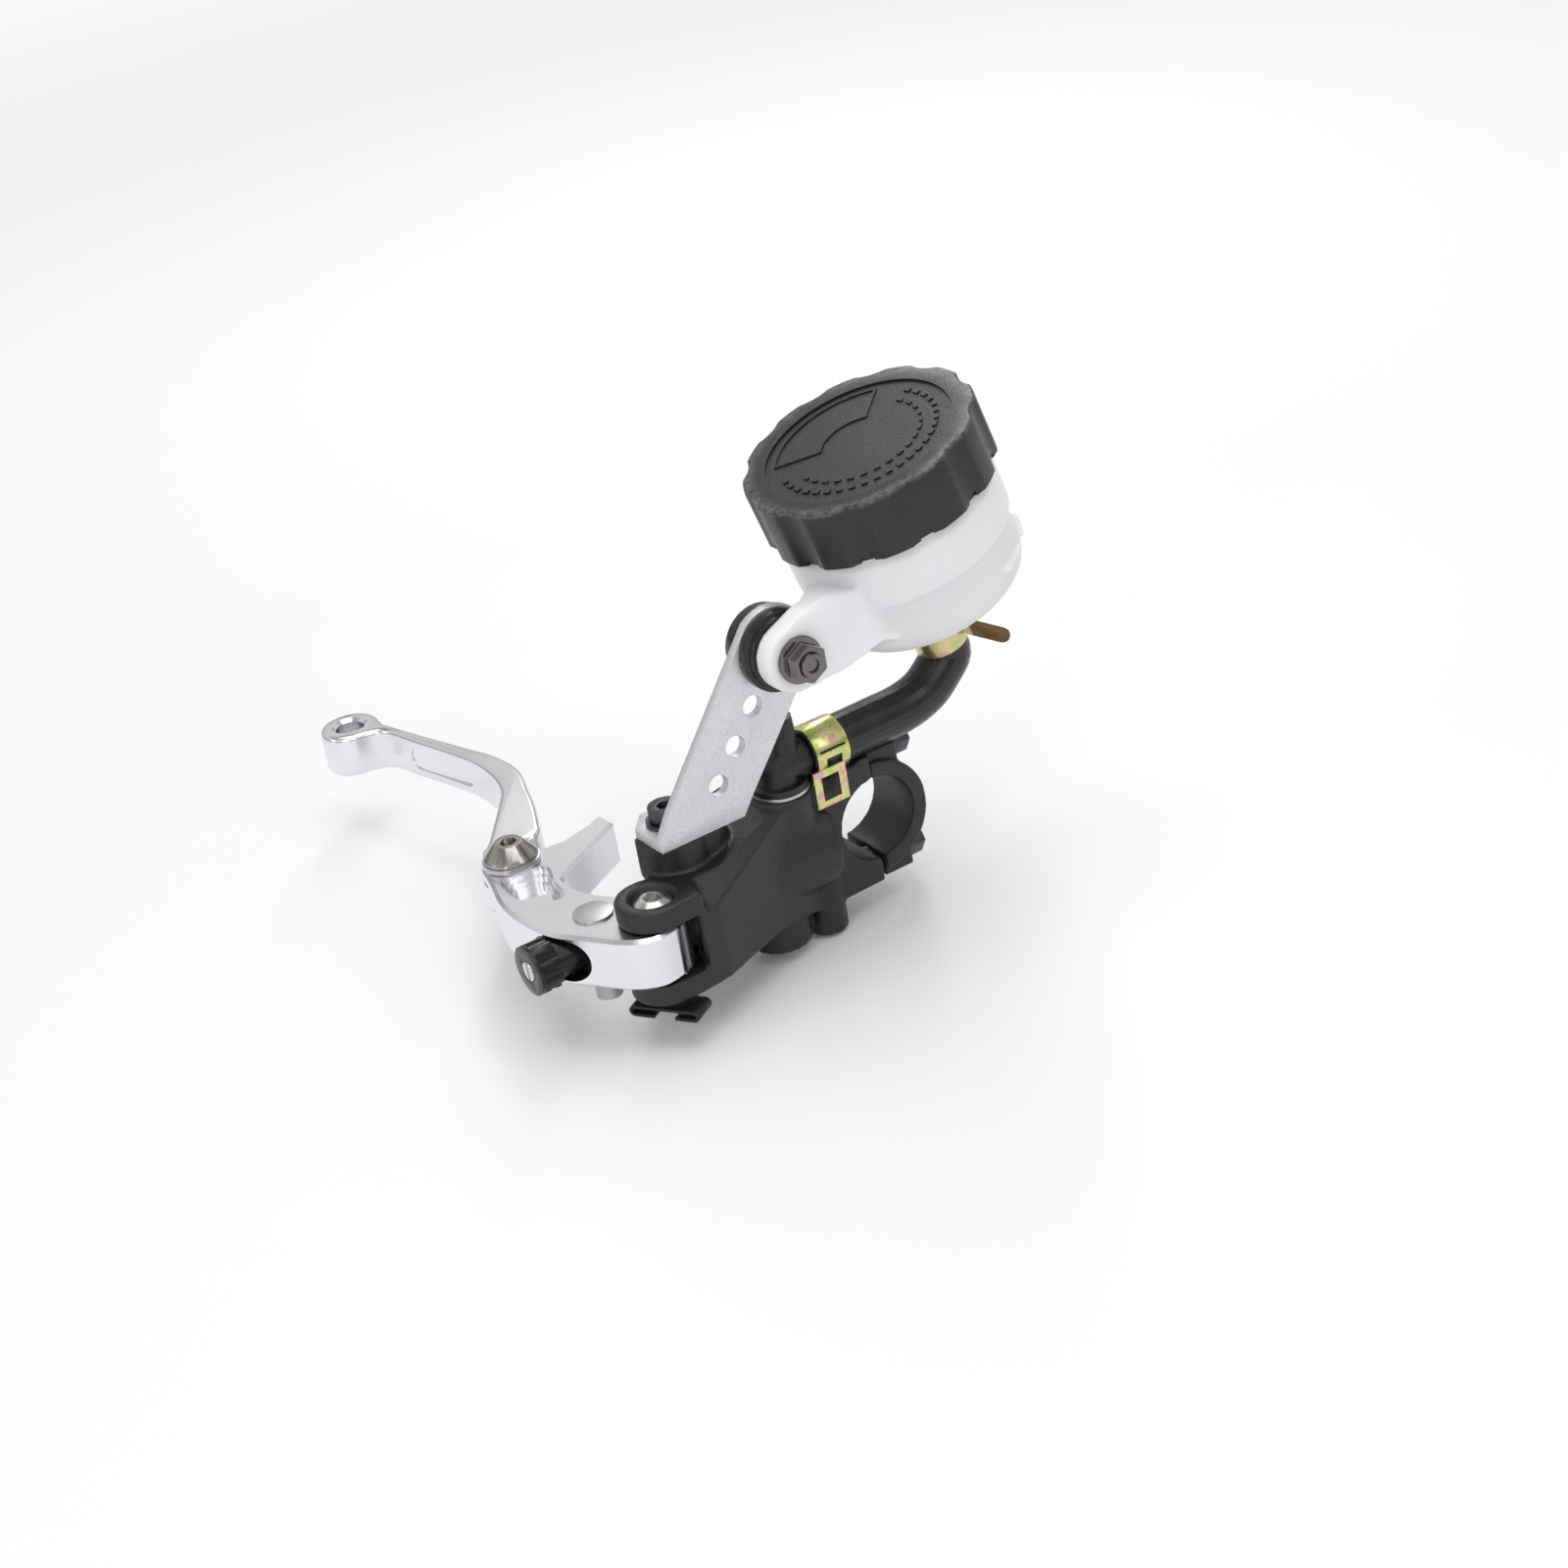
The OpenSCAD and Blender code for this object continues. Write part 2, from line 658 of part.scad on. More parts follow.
// The hose's route in y and z: straight back over the clamp, then round and up to the bottle.
// Its last stretch lies on the line of the reservoir's outlet.
outlet_pt = [bolt_hub[0] + outlet_y * cos(reservoir_tilt) + bottle_floor * sin(reservoir_tilt),
    bolt_hub[1] - outlet_y * sin(reservoir_tilt) + bottle_floor * cos(reservoir_tilt)];
outlet_dir = [-sin(reservoir_tilt), -cos(reservoir_tilt)];
hose_route = concat(
    [[hose_y0, hose_z]],
    spline([[6.5, hose_z], [-4, hose_z + 0.1], [-13.5, hose_z + 0.3], [-21, hose_z + 2.2],
        [-26.6, hose_z + 6.4], outlet_pt + 17.4 * outlet_dir, outlet_pt + 14 * outlet_dir], 4),
    [outlet_pt + 14 * outlet_dir, outlet_pt + 3 * outlet_dir]);

// A tube along the route, with square ends
module hose_tube(outer, inner) {
    sides = 24;
    rings = len(hose_route);
    function along(i) = let (d = hose_route[min(i + 1, rings - 1)] - hose_route[max(i - 1, 0)]) d / norm(d);
    function ring(i, r) = [for (k = [0:sides - 1]) let (a = 360 * k / sides, t = along(i))
        [hose_x + r * cos(a), hose_route[i][0] - r * sin(a) * t[1], hose_route[i][1] + r * sin(a) * t[0]]];
    points = concat([for (i = [0:rings - 1]) each ring(i, outer)],
        [for (i = [0:rings - 1]) each ring(i, inner)]);
    shift = rings * sides;
    last = shift - sides;
    faces = [for (i = [0:rings - 2]) for (k = [0:sides - 1])
        let (a = i * sides + k, b = i * sides + (k + 1) % sides)
        each [[a, b, b + sides, a + sides], [shift + b, shift + a, shift + a + sides, shift + b + sides]]];
    ends = [for (k = [0:sides - 1]) let (n = (k + 1) % sides)
        each [[n, k, shift + k, shift + n], [last + k, last + n, shift + last + n, shift + last + k]]];
    polyhedron(points = points, faces = concat(faces, ends));
}

module feed_hose() {
    color("#161719") hose_tube(hose_od / 2, hose_id / 2);
}

// Spring band clamp around a hose along Z: a windowed ring, and tails that stand out from it
module band_clamp(width) {
    r = hose_od / 2 + snug;
    difference() {
        rod_z(r + band_t, 0, width);
        rod_z(r, -1, width + 1);
        // window, and the slit beside it
        translate([-r, 0, width / 2]) cube([3, 4.4, width - 5], center = true);
        translate([-r, -4, width / 2]) cube([4, 0.6, width - 2], center = true);
    }
}

// Flat windowed tail of a band clamp, between two distances from the hose's middle
module band_tail(width, near, far, window) {
    difference() {
        block([-far, -near], [0, band_t], [0, width]);
        block([1.6 - far, -near - 2], [-1, 3], [(width - window) / 2, (width + window) / 2]);
    }
}

module hose_clamp_lower() {
    ring = hose_od / 2 + snug + band_t;
    color("#a9a45a") translate([hose_x, 7.4, hose_z]) rotate([-90, 0, 0]) {
        rotate([0, 0, -20]) band_clamp(9.6);
        // the tail hangs straight down beside the clamp's arm
        rotate([0, 0, -90]) translate([0, -ring + 0.02, 2.2]) band_tail(9.6, 2.6, 12.6, 5.2);
    }
}

module hose_clamp_upper() {
    ring = hose_od / 2 + snug + band_t;
    color("#a8924e") at_reservoir() translate([axis_x, outlet_y, bottle_floor - 14]) {
        rotate([0, 0, 62]) band_clamp(7.4);
        rotate([0, 0, 88]) translate([0, 0, 0.6]) band_tail(6.2, ring - 0.3, ring + 8.5, 3);
        // round-ended tongue, bent downwards
        rotate([0, 0, 38]) translate([0.3 - ring, 0, 1.8]) rotate([0, -30, 0]) {
            block([-9.4, 0], [0, band_t], [0, 4.4]);
            translate([-9.4, 0, 2.2]) rod_y(2.2, 0, band_t);
        }
    }
}

// ---------- bracket ----------

// Outline of the bracket's upright plate, as y and z
function plate_outline() = concat(
    [[41, foot_z], [37.4, 25.4], [29.4, 35.2], [20.8, 46]],
    arc(bolt_hub, 10.6, 235, 50, 16),
    [[39.4, 57.4], [47, 47.6], [54.7, 37.6], [60.8, 29.6], [64.8, 23], [64.8, foot_z]]);

module bracket() {
    holes = [[33.5, 47.2], [40.1, 39.1], [46.5, 31.2]];
    color("#c7c8cb") difference() {
        union() {
            translate([plate_x, 0, 0]) rotate([90, 0, 90]) linear_extrude(plate_t)
                polygon(plate_outline());
            translate([0, 0, foot_z]) linear_extrude(plate_t)
                polygon([[plate_x, 44], [-1, 46], [2.6, 50], [2.6, 60], [-3, 64.8],
                    [plate_x, 64.8]]);
        }
        translate([0, bolt_hub[0], bolt_hub[1]]) rod_x(7, -40, 40);
        for (h = holes) translate([0, h[0], h[1]]) rod_x(2.7, -40, 40);
        translate([post_at[0], post_at[1], 0]) rod_z(m6_r + 0.3, 0, 60);
        // the reservoir's outlet side of the foot stays clear of the inlet boss
        block([plate_x + plate_t, 20], [0, 43.5], [0, 40]);
    }
}

module bracket_bolt() {
    z0 = foot_z + plate_t + 1.04;
    color("#55555a") translate([post_at[0], post_at[1], 0]) difference() {
        union() {
            rod_z(m6_r, 10, z0);
            rod_z(4.5, z0 - eps, z0 + 3.5);
        }
        hex_z(4, z0 + 1.2, z0 + 10);
    }
}

module bracket_washer() {
    color("#7b7b80") translate([post_at[0], post_at[1], 0]) difference() {
        rod_z(5.5, foot_z + plate_t + 0.02, foot_z + plate_t + 1);
        rod_z(m6_r + 0.1, 0, 60);
    }
}

// Rubber grommet: two discs joined by a neck that sits in the plate's hole
module grommet() {
    neck = [plate_x, plate_x + plate_t];
    color("#1b1c1e") translate([0, bolt_hub[0], bolt_hub[1]]) difference() {
        union() {
            rod_x(10.3, neck[0] - 4.2, neck[0] - 0.02);
            rod_x(9.6, neck[1] + 0.02, neck[1] + 4.4);
            rod_x(6.95, neck[0] - 1, neck[1] + 1);
        }
        rod_x(4.2, -40, 40);
        // step in the near disc
        difference() {
            rod_x(20, neck[0] - 5, neck[0] - 3);
            rod_x(9.2, neck[0] - 6, neck[0]);
        }
    }
}

module grommet_sleeve() {
    color("#a5a5a8") translate([0, bolt_hub[0], bolt_hub[1]]) difference() {
        rod_x(4.15, plate_x - 4.3, plate_x + plate_t + 4.5);
        rod_x(m6_r + 0.1, -40, 40);
    }
}

module reservoir_bolt() {
    head_x = plate_x + plate_t + 4.55;
    color("#4c4a4c") translate([0, bolt_hub[0], bolt_hub[1]]) difference() {
        union() {
            rod_x(m6_r, -31.2, head_x);
            rod_x(5.4, head_x - eps, head_x + 3.4);
        }
        translate([head_x + 2, 0, 0]) rotate([0, 90, 0]) hex_z(4, 0, 5);
        rod_x(1.7, -33, -30.4);
    }
}

module reservoir_nut() {
    color("#4f4b4d") translate([0, bolt_hub[0], bolt_hub[1]]) difference() {
        union() {
            rod_x(5.9, ear_x[0] - 1.3, ear_x[0] - 0.03);
            translate([ear_x[0] - 5.2, 0, 0]) rotate([0, 90, 0]) hex_z(8.6, 0, 4.4);
        }
        rod_x(m6_r + snug, -60, 0);
    }
}

// ---------- reservoir ----------

module reservoir_bottle() {
    wall = 2;
    fillet = 6;
    h0 = bottle_floor;
    // the arm that carries the ear, seen from above and from the side
    ear_plan = [[ear_x[0], 2], [ear_x[1], 2], [ear_x[1], -9], [-12, -19], [-12, -34],
        [-21, -30], [-22.4, -23], [ear_x[0], -9]];
    ear_side = [[2, 8.4], [-7, 9.6], [-14, 8.4], [-22, 3], [-34, 2], [-34, -15], [-16, -12.6],
        [-6, -10.2], [2, -8.4]];
    color("#e9eaec") at_reservoir() difference() {
        union() {
            translate([axis_x, axis_y, 0]) {
                rotate_extrude() polygon(concat(
                    [[0, h0], [bottle_r - fillet, h0]],
                    arc([bottle_r - fillet, h0 + fillet], fillet, -90, 0, 8),
                    [[bottle_r, -6], [bottle_r + 1.4, -4.6], [bottle_r + 1.4, shoulder_z - 1.4],
                        [bottle_r, shoulder_z], [neck_r - 0.4, shoulder_z], [neck_r - 0.4, rim_z],
                        [0, rim_z]]));
                // outlet
                translate([0, outlet_y - axis_y, 0]) {
                    rod_z(5.6, h0 - 2, h0 + 1);
                    rod_z(3.9, h0 - 12, h0);
                }
                // two thread ridges on the neck
                for (z = [rim_z - 4, rim_z - 7]) rod_z(neck_r, z, z + 1.2);
                // moulded ribs
                for (a = [-150, -120, -60, -30, 60, 120]) rotate([0, 0, a])
                    block([bottle_r - 1, bottle_r + 1.5], [-5, 5], [-14.6, -13.2]);
            }
            // mounting ear
            rod_x(8.6, ear_x[0], ear_x[1]);
            intersection() {
                translate([0, 0, -20]) linear_extrude(40) polygon(ear_plan);
                rotate([90, 0, 90]) translate([0, 0, -40]) linear_extrude(60) polygon(ear_side);
            }
        }
        // inside of the bottle
        translate([axis_x, axis_y, 0]) {
            rod_z(bottle_r - wall, h0 + wall, rim_z + 5);
            translate([0, outlet_y - axis_y, 0]) rod_z(2.6, h0 - 20, h0 + 5);
        }
        rod_x(m6_r + 0.05, -60, 0);
    }
}

module reservoir_cap() {
    dip_r = 11;
    color("#1d1e20") at_bottle() difference() {
        rod_z(cap_d / 2, cap_top - cap_h, cap_top);
        rod_z(neck_r + 0.35, cap_top - cap_h - 1, cap_top - 2.6);
        // finger scallops around the edge, with a small notch under each
        for (i = [0:cap_scallops - 1]) rotate([0, 0, (i + 0.5) * 360 / cap_scallops]) {
            translate([cap_d / 2 + dip_r - 1.1, 0, 0]) rod_z(dip_r, cap_top - cap_h - 1, cap_top + 1);
            translate([cap_d / 2 - 1.1, 0, cap_top - cap_h]) cube([1.2, 3.4, 2.8], center = true);
        }
        // shallow sunk middle
        rod_z(cap_d / 2 - 6, cap_top - 0.5, cap_top + 1);
    }
}

module diaphragm() {
    color("#232427") at_bottle() difference() {
        union() {
            rod_z(neck_r - 0.5, rim_z + 0.05, rim_z + 1.4);
            rod_z(22, rim_z - 9, rim_z + 0.1);
        }
        rod_z(20.6, rim_z - 7.6, rim_z + 4);
        difference() {
            rod_z(16, rim_z - 10, rim_z - 4);
            rod_z(11, rim_z - 11, rim_z - 3);
        }
    }
}

module diaphragm_plate() {
    color("#d8d5cc") at_bottle() difference() {
        rod_z(neck_r - 0.7, rim_z + 1.5, cap_top - 2.9);
        rod_z(6, 0, 40);
    }
}

body();
clamp_cap();
clamp_bolt(1);  // clamp_bolt_upper
clamp_bolt(-1);  // clamp_bolt_lower
clamp_washer(1);  // clamp_washer_upper
clamp_washer(-1);  // clamp_washer_lower
pivot_bolt();
pivot_nut();
pivot_bush();
pivot_clip();
lever_base();
lever_blade();
fold_screw();
fold_washer();
fold_nut();
detent_ball();
detent_spring();
trunnion();
push_rod();
adjuster_barrel();
adjuster_knob();
adjuster_screw();
knob_set_screw();
dust_boot();
piston();
primary_cup();
secondary_seal();
return_spring();
stop_washer();
piston_circlip();
inlet_elbow();
inlet_o_ring();
inlet_circlip();
feed_hose();
hose_clamp_lower();
hose_clamp_upper();
bracket();
bracket_bolt();
bracket_washer();
grommet();
grommet_sleeve();
reservoir_bolt();
reservoir_nut();
reservoir_bottle();
reservoir_cap();
diaphragm();
diaphragm_plate();
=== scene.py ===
import json
import math

import bpy
from mathutils import Matrix, Vector


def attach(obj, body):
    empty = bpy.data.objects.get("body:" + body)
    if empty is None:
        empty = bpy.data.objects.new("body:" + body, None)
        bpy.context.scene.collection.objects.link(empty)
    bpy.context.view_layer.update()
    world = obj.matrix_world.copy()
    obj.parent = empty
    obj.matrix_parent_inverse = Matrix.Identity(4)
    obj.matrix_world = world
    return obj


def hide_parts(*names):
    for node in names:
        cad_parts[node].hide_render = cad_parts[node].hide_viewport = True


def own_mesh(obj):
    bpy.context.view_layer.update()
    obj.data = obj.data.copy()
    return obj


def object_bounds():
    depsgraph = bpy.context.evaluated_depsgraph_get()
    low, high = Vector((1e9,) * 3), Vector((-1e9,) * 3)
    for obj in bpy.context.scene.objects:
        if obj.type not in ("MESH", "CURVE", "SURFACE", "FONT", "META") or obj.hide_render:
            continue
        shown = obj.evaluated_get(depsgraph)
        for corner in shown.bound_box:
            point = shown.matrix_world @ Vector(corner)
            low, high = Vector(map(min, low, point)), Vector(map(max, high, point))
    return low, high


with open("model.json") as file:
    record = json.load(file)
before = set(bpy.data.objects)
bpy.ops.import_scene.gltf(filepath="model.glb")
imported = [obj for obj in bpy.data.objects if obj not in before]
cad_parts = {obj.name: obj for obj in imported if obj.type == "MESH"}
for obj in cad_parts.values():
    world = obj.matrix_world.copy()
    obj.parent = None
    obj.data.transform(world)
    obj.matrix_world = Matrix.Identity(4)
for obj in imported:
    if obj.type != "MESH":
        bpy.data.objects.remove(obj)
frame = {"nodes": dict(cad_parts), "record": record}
cad_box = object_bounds()

MM = 0.001
TILT = math.radians(16.5)           # how far the reservoir leans forward
PIVOT = Vector((-17.3, 71.2, 0)) * MM
FOLD = PIVOT + Vector((52.5, 9.9, 0)) * MM
TIP = PIVOT + Vector((163.2, 0.4, 0)) * MM
TRUNNION = PIVOT + Vector((13.4, 9.5, 0)) * MM
BASE_TOP = 7 * MM                   # half the lever base's height
BLADE_TOP = 6.2 * MM                # half the blade's height
# x and y limits of the pocket in the lever base, in mm from the pivot
POCKET = (((25.5, 46.6), (6.3, 19.5)), ((36.5, 46.6), (3.8, 19.5)))
RESERVOIR_BOLT = Vector((0, 24.8, 59.3)) * MM
RESERVOIR = Matrix.Translation(RESERVOIR_BOLT) @ Matrix.Rotation(-TILT, 4, "X")
BOTTLE = RESERVOIR @ Matrix.Translation(Vector((-6.1, -47, 0)) * MM)
CAP_TOP = 25.9 * MM                 # top of the screw cap above the reservoir bolt, along the lean
CAP_FACE = CAP_TOP - 0.5 * MM       # the cap's sunk middle, which carries its marks
CAP_R = 30 * MM
CAP_SUNK_R = 25 * MM                # just outside the sunk middle
MARK_HEIGHT = 0.45 * MM
MARK_ROOT = 0.1 * MM                # how far a mark is sunk into the face
BAND_EDGE = -13.2 * MM              # beyond this x the upper hose clamp is its tongue
SHARP = math.radians(32)            # edges that turn more than this are broken
FLAT = math.radians(0.6)            # faces that turn less than this are joined
WELD = 0.00001                      # points closer than this are joined
NEAR = 0.05 * MM                    # how close a point must be to count as on a face
BORE_RIM = 5.8 * MM                 # edges this close to one of the base's bores stay sharp
TIP_RIM = 6 * MM                    # edges this close to the blade's tip hole stay as they are

SLOT = {part["node"]: part["material_slot"] for part in frame["record"]["subparts"]}
BODY = {node: body for body, nodes in frame["record"]["behaviour"]["bodies"].items() for node in nodes}


# ---------- camera, floor and light ----------

def add_camera():
    elevation = math.radians(27)
    azimuth = math.radians(240.1)
    roll = math.radians(-10.1)
    back = Vector((math.sin(azimuth) * math.cos(elevation), -math.cos(azimuth) * math.cos(elevation),
                   math.sin(elevation)))
    data = bpy.data.cameras.new("camera")
    data.sensor_width = 36
    data.lens = 67.5
    data.clip_start = 0.02
    data.clip_end = 20
    camera = bpy.data.objects.new("camera", data)
    bpy.context.collection.objects.link(camera)
    camera.location = (-0.56507, 0.34509, 0.34738)
    camera.rotation_mode = "QUATERNION"
    level = (-back).to_track_quat("-Z", "Y")
    camera.rotation_quaternion = level @ Matrix.Rotation(roll, 3, "Z").to_quaternion()
    bpy.context.scene.camera = camera


def add_floor(material):
    low = cad_box[0].z - MM         # just clear of the object
    bpy.ops.mesh.primitive_plane_add(size=8, location=(0, 0, low))
    floor = bpy.context.object
    floor.name = "floor"
    floor.data.materials.append(material)


def add_light(name, place, aim, size, power):
    data = bpy.data.lights.new(name, "AREA")
    data.shape = "RECTANGLE"
    data.size, data.size_y = size
    data.energy = power
    light = bpy.data.objects.new(name, data)
    bpy.context.collection.objects.link(light)
    light.location = place
    light.rotation_mode = "QUATERNION"
    light.rotation_quaternion = (Vector(aim) - Vector(place)).to_track_quat("-Z", "Y")


def add_lights():
    add_light("overhead", (-0.15, 0.05, 1.2), (0.0, 0.03, 0), (1.1, 1.1), 7)
    add_light("camera_side", (-1.0, 0.5, 0.6), (0, 0.04, 0.03), (0.5, 0.5), 0.8)
    add_light("lever_strip", (-0.62, 0.95, 0.5), (-0.01, 0.02, 0.05), (0.14, 0.9), 1.6)
    add_light("back_strip", (0.42, -0.3, 0.62), (-0.01, 0.02, 0.04), (0.12, 0.8), 1.5)
    add_light("front_strip", (-0.75, -0.25, 0.75), (-0.01, 0.02, 0.05), (0.1, 0.8), 0.9)
    add_light("lever_side", (0.3, 1.3, 0.5), (0.03, 0.06, 0), (0.5, 0.5), 1.1)
    world = bpy.data.worlds.new("studio")
    world.use_nodes = True
    tree = world.node_tree
    direction = tree.nodes.new("ShaderNodeTexCoord")
    parts = tree.nodes.new("ShaderNodeSeparateXYZ")
    ramp = tree.nodes.new("ShaderNodeValToRGB")
    # from the horizon up: mid grey, a darker band, a wide bright band, and a dim top
    set_stops(ramp.color_ramp, [(0.0, (0.6, 0.605, 0.62)), (0.12, (0.3, 0.305, 0.32)),
                                (0.32, (1.0, 1.0, 1.0)), (0.6, (1.0, 1.0, 1.0)), (0.85, (0.4, 0.4, 0.41))])
    tree.links.new(direction.outputs["Generated"], parts.inputs[0])
    tree.links.new(parts.outputs["Z"], ramp.inputs[0])
    tree.links.new(ramp.outputs[0], tree.nodes["Background"].inputs["Color"])
    tree.nodes["Background"].inputs["Strength"].default_value = 0.7
    bpy.context.scene.world = world
    bpy.context.scene.view_settings.view_transform = "Standard"


# ---------- materials ----------

class Value:
    """A socket that can be used in an expression."""

    def __init__(self, finish, socket):
        self.finish = finish
        self.socket = socket

    def math(self, operation, *others):
        return self.finish.node("ShaderNodeMath", {"operation": operation}, [self, *others])

    def __add__(self, other):
        return self.math("ADD", other)

    __radd__ = __add__

    def __mul__(self, other):
        return self.math("MULTIPLY", other)

    __rmul__ = __mul__


class Finish:
    """A procedural material. Its patterns are in object coordinates."""

    def __init__(self, name):
        self.material = bpy.data.materials.new(name)
        self.material.use_nodes = True
        self.tree = self.material.node_tree
        self.shader = self.tree.nodes["Principled BSDF"]
        self.place = self.node("ShaderNodeTexCoord", output="Object")

    def node(self, kind, settings=None, inputs=(), output=0):
        """A new node with these settings. Inputs are numbers, tuples or Values, by name or by order."""
        made = self.tree.nodes.new(kind)
        for key, value in (settings or {}).items():
            if key == "stops":
                set_stops(made.color_ramp, value)
            else:
                setattr(made, key, value)
        pairs = inputs.items() if isinstance(inputs, dict) else enumerate(inputs)
        for key, value in pairs:
            if isinstance(value, Value):
                self.tree.links.new(value.socket, made.inputs[key])
            else:
                made.inputs[key].default_value = value
        return Value(self, made.outputs[output])

    def set(self, **values):
        """Sets the shader's own sockets: base_color sets Base Color, and so on."""
        for key, value in values.items():
            socket = self.shader.inputs[key.replace("_", " ").title().replace("Ior", "IOR")]
            if isinstance(value, Value):
                self.tree.links.new(value.socket, socket)
            else:
                socket.default_value = (*value, 1) if isinstance(value, tuple) else value

    def stretched(self, stretch):
        return self.node("ShaderNodeMapping", {"vector_type": "TEXTURE"}, {
            "Vector": self.place, "Scale": stretch})

    def local(self, turn, centre):
        """Coordinates in a frame that is turned and stands at centre."""
        return self.node("ShaderNodeMapping", {"vector_type": "TEXTURE"}, {
            "Vector": self.place, "Location": tuple(centre), "Rotation": turn})

    def parts(self, place):
        """The x, y and z of a place."""
        split = self.node("ShaderNodeSeparateXYZ", None, [place]).socket.node
        return [Value(self, split.outputs[axis]) for axis in "XYZ"]

    def noise(self, size, detail, rough=0.5, place=None):
        """Noise whose blotches are about size metres across."""
        return self.node("ShaderNodeTexNoise", None, {
            "Vector": place or self.place, "Scale": 1 / size, "Detail": detail, "Roughness": rough})

    def band(self, value, low, high, to_low=0.0, to_high=1.0):
        return self.node("ShaderNodeMapRange", None, [value, low, high, to_low, to_high])

    def mix(self, factor, first, second):
        return self.node("ShaderNodeMix", {"data_type": "RGBA"}, {
            "Factor": factor, 6: first if isinstance(first, Value) else (*first, 1),
            7: second if isinstance(second, Value) else (*second, 1)}, output=2)

    def bump(self, height, depth, strength):
        normal = self.node("ShaderNodeBump", None, {
            "Strength": strength, "Distance": depth, "Height": height}, output="Normal")
        self.set(normal=normal)


def set_stops(ramp, stops):
    while len(ramp.elements) < len(stops):
        ramp.elements.new(1)
    for element, (place, colour) in zip(ramp.elements, stops):
        element.position = place
        element.color = (*colour, 1)


def cast_black():
    """Black coated casting: fine grain, faint mottling and a few dull rubbed spots."""
    f = Finish("cast_black")
    grain = f.noise(0.0006, 2, 0.6)
    mottle = f.noise(0.009, 4, 0.6)
    rubbed = f.band(f.noise(0.003, 5, 0.7), 0.63, 0.7)
    colour = f.mix(mottle, (0.008, 0.0085, 0.0095), (0.017, 0.0175, 0.02))
    f.set(base_color=f.mix(rubbed * 0.3, colour, (0.07, 0.07, 0.075)), metallic=0.2,
          roughness=f.band(mottle, 0.3, 0.7, 0.3, 0.42) + grain * 0.1, specular_ior_level=0.6)
    f.bump(grain, 0.00025, 0.6)
    return f.material


def milled_silver():
    """Milled and clear anodised aluminium with faint cutter marks."""
    f = Finish("milled_silver")
    marks = f.noise(0.0006, 2, 0.5, f.stretched((1, 1, 30)))
    cloud = f.noise(0.02, 3)
    f.set(base_color=f.mix(cloud, (0.76, 0.765, 0.785), (0.86, 0.865, 0.88)), metallic=1.0,
          roughness=0.13 + marks * 0.16 + cloud * 0.06)
    f.bump(marks, 0.00004, 0.3)
    return f.material


def blasted_silver():
    """Bead blasted aluminium plate."""
    f = Finish("blasted_silver")
    grain = f.noise(0.00045, 2, 0.6)
    cloud = f.noise(0.012, 3)
    f.set(base_color=f.mix(grain, (0.5, 0.5, 0.52), (0.92, 0.92, 0.935)), metallic=0.9,
          roughness=0.36 + grain * 0.14 + cloud * 0.06)
    f.bump(grain, 0.00025, 0.6)
    return f.material


def turned(name, colour, centre, rough=0.2):
    """Turned metal with fine rings round the upright axis through centre."""
    f = Finish(name)
    rings = f.node("ShaderNodeTexWave", {"wave_type": "RINGS", "rings_direction": "Z"}, {
        "Vector": f.local((0, 0, 0), centre), "Scale": 1400.0, "Distortion": 0.3, "Detail": 1.0})
    cloud = f.noise(0.004, 3)
    f.set(base_color=f.mix(cloud, tuple(c * 0.8 for c in colour), colour), metallic=1.0,
          roughness=rough + rings * 0.03 + cloud * 0.08)
    f.bump(rings, 0.000003, 0.2)
    return f.material


def plain_metal(name, colour, rough, metallic=1.0):
    f = Finish(name)
    cloud = f.noise(0.003, 4, 0.6)
    fine = f.noise(0.0004, 2)
    f.set(base_color=f.mix(cloud, tuple(c * 0.75 for c in colour), colour), metallic=metallic,
          roughness=rough + cloud * 0.12)
    f.bump(fine, 0.00003, 0.4)
    return f.material


def yellow_zinc(name, browned):
    """Yellow zinc plating, which runs from straw through green to pink. Browned, it has a brown tongue."""
    f = Finish(name)
    drift = f.noise(0.0048, 3, 0.55)
    tints = f.node("ShaderNodeValToRGB", {"stops": [
        (0.3, (0.66, 0.6, 0.2)), (0.42, (0.46, 0.58, 0.2)), (0.5, (0.72, 0.66, 0.3)),
        (0.58, (0.68, 0.36, 0.34)), (0.68, (0.5, 0.46, 0.6))]}, [drift])
    fine = f.noise(0.0005, 2)
    if browned:
        beyond = f.band(f.parts(f.place)[0], BAND_EDGE, BAND_EDGE - 0.6 * MM)
        brown = f.mix(drift, (0.1, 0.05, 0.025), (0.26, 0.16, 0.08))
        tints = f.mix(beyond, f.mix(0.35, tints, (0.6, 0.38, 0.3)), brown)
    f.set(base_color=tints, metallic=0.95, roughness=0.2 + fine * 0.12)
    f.bump(fine, 0.00003, 0.4)
    return f.material


def rubber():
    """Moulded rubber with a faint bloom."""
    f = Finish("rubber")
    colour = (0.006, 0.006, 0.007)
    bloom = f.noise(0.006, 5, 0.65)
    fine = f.noise(0.0005, 3)
    f.set(base_color=f.mix(f.band(bloom, 0.4, 0.75), colour, tuple(c * 2.6 for c in colour)),
          roughness=0.2 + bloom * 0.16, specular_ior_level=0.5)
    f.bump(fine + bloom * 0.6, 0.00006, 0.4)
    return f.material


